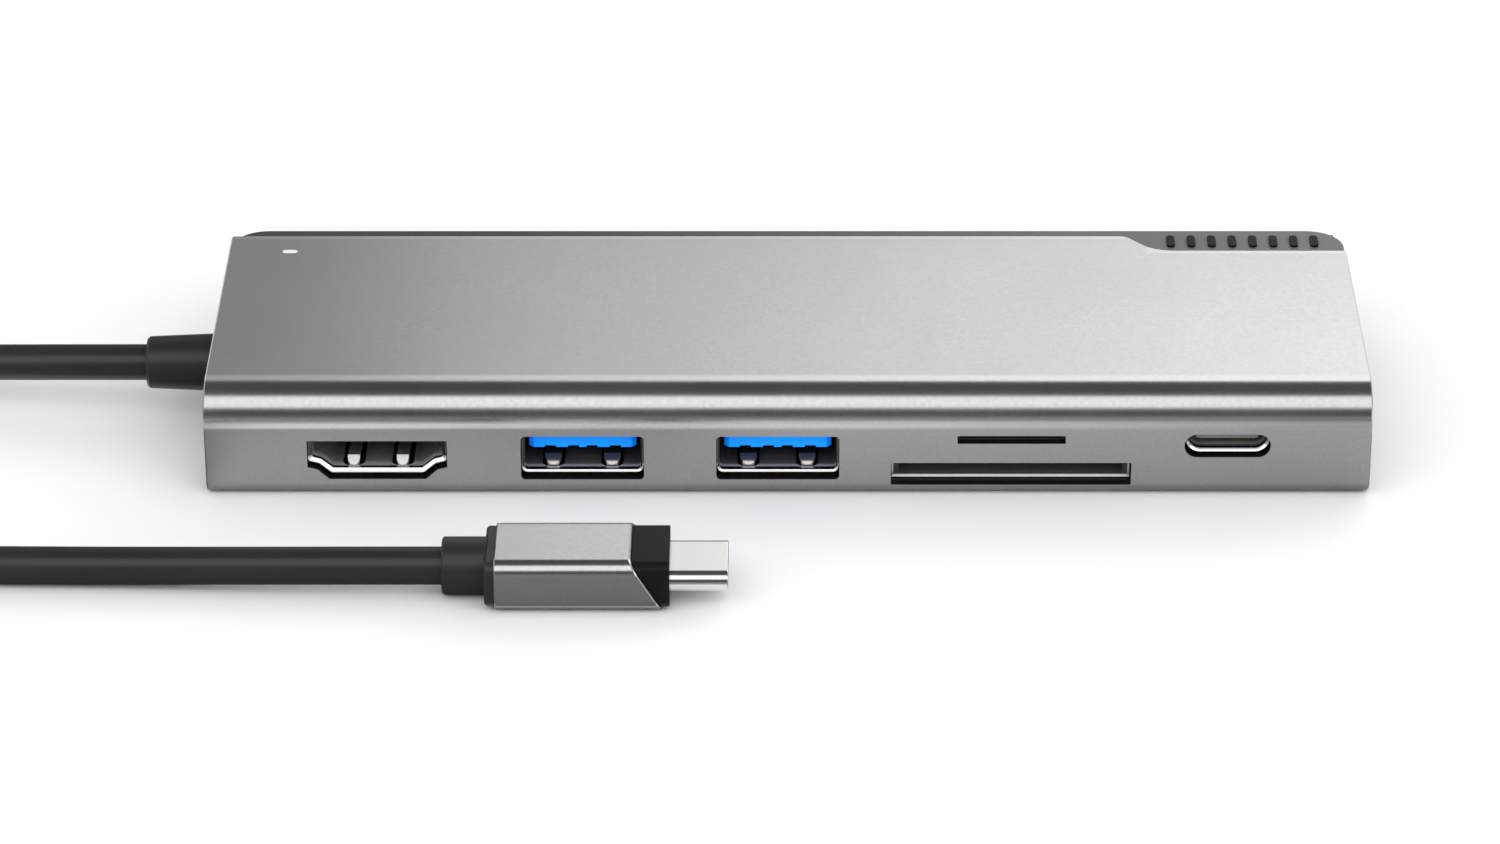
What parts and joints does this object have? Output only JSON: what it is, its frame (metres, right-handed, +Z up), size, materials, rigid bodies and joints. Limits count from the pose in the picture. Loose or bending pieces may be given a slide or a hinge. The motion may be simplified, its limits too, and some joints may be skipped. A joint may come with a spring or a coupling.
{
  "type": "usb hub",
  "caption": "Flat rectangular USB hub in a grey metal and plastic case, with a row of ports on its long front face and a short captive lead ending in a USB-C plug.",
  "frame": {"origin": "centre of the case in plan, on the surface that its feet stand on", "axes": "+X along the case from the lead's end to the USB-C socket's end, +Y from the port face to the back, +Z up"},
  "size_m": [0.1902, 0.0657, 0.0124],
  "materials": {
    "shell_aluminium": "fine blasted, space grey anodised",
    "plug_aluminium": "fine blasted, space grey anodised",
    "case_plastic": "fine spark-eroded texture, dark grey",
    "base_plastic": "fine texture, black",
    "steel_screw": "zinc plated",
    "foot_rubber": "matte",
    "board": "solder mask, green",
    "chip_black": "moulded epoxy",
    "pad_silicone": "soft silicone",
    "can_metal": "satin",
    "ceramic": "ceramic body with plated ends",
    "lamp_white": "clear epoxy over white",
    "light_pipe": "clear polycarbonate",
    "socket_steel": "nickel plated sheet",
    "tongue_blue": "blue nylon",
    "tongue_black": "black nylon",
    "contact_gold": "gold plated",
    "spring_steel": "drawn wire",
    "slider_plastic": "natural nylon",
    "cable_jacket": "smooth satin elastomer",
    "boot_rubber": "smooth satin elastomer",
    "core_plastic": "extruded insulation",
    "nose_plastic": "fine texture, black"
  },
  "bodies": {
    "hub": {"top_shell": "shell_aluminium", "chassis": "case_plastic", "trim_bars": "case_plastic", "base_plate": "base_plastic", "cover_screws": "steel_screw", "feet": "foot_rubber", "main_board": "board", "board_screws": "steel_screw", "hub_chip": "chip_black", "video_chip": "chip_black", "card_reader_chip": "chip_black", "power_chip": "chip_black", "memory_chip": "chip_black", "thermal_pads": "pad_silicone", "crystals": "can_metal", "inductors": "chip_black", "capacitors": "ceramic", "led_lamp": "lamp_white", "light_pipe": "light_pipe", "hdmi_shell": "socket_steel", "hdmi_insert": "tongue_black", "hdmi_contacts": "contact_gold", "usb_a_left_shell": "socket_steel", "usb_a_left_insert": "tongue_blue", "usb_a_left_contacts": "contact_gold", "usb_a_right_shell": "socket_steel", "usb_a_right_insert": "tongue_blue", "usb_a_right_contacts": "contact_gold", "usb_c_shell": "socket_steel", "usb_c_insert": "tongue_black", "usb_c_contacts": "contact_gold", "sd_base": "tongue_black", "sd_cover": "socket_steel", "sd_contacts": "contact_gold", "micro_sd_base": "tongue_black", "micro_sd_cover": "socket_steel", "micro_sd_contacts": "contact_gold", "micro_sd_spring": "spring_steel", "cable_boot": "boot_rubber", "cable": "cable_jacket", "cable_wires": "core_plastic", "plug_boot": "boot_rubber", "plug_sleeve": "plug_aluminium", "plug_nose": "nose_plastic", "plug_tip": "socket_steel", "plug_insert": "tongue_black", "plug_contacts": "contact_gold", "plug_board": "board"},
    "card_slider": {"micro_sd_slider": "slider_plastic"}
  },
  "joints": [
    {"name": "card_slider_slide", "type": "slide", "parent": "hub", "child": "card_slider", "axis": [0, 1, 0], "range_m": [0, 0.0029], "stiffness_N_per_m": 150, "springref_m": -0.003, "deforming": ["micro_sd_spring"]}
  ]
}
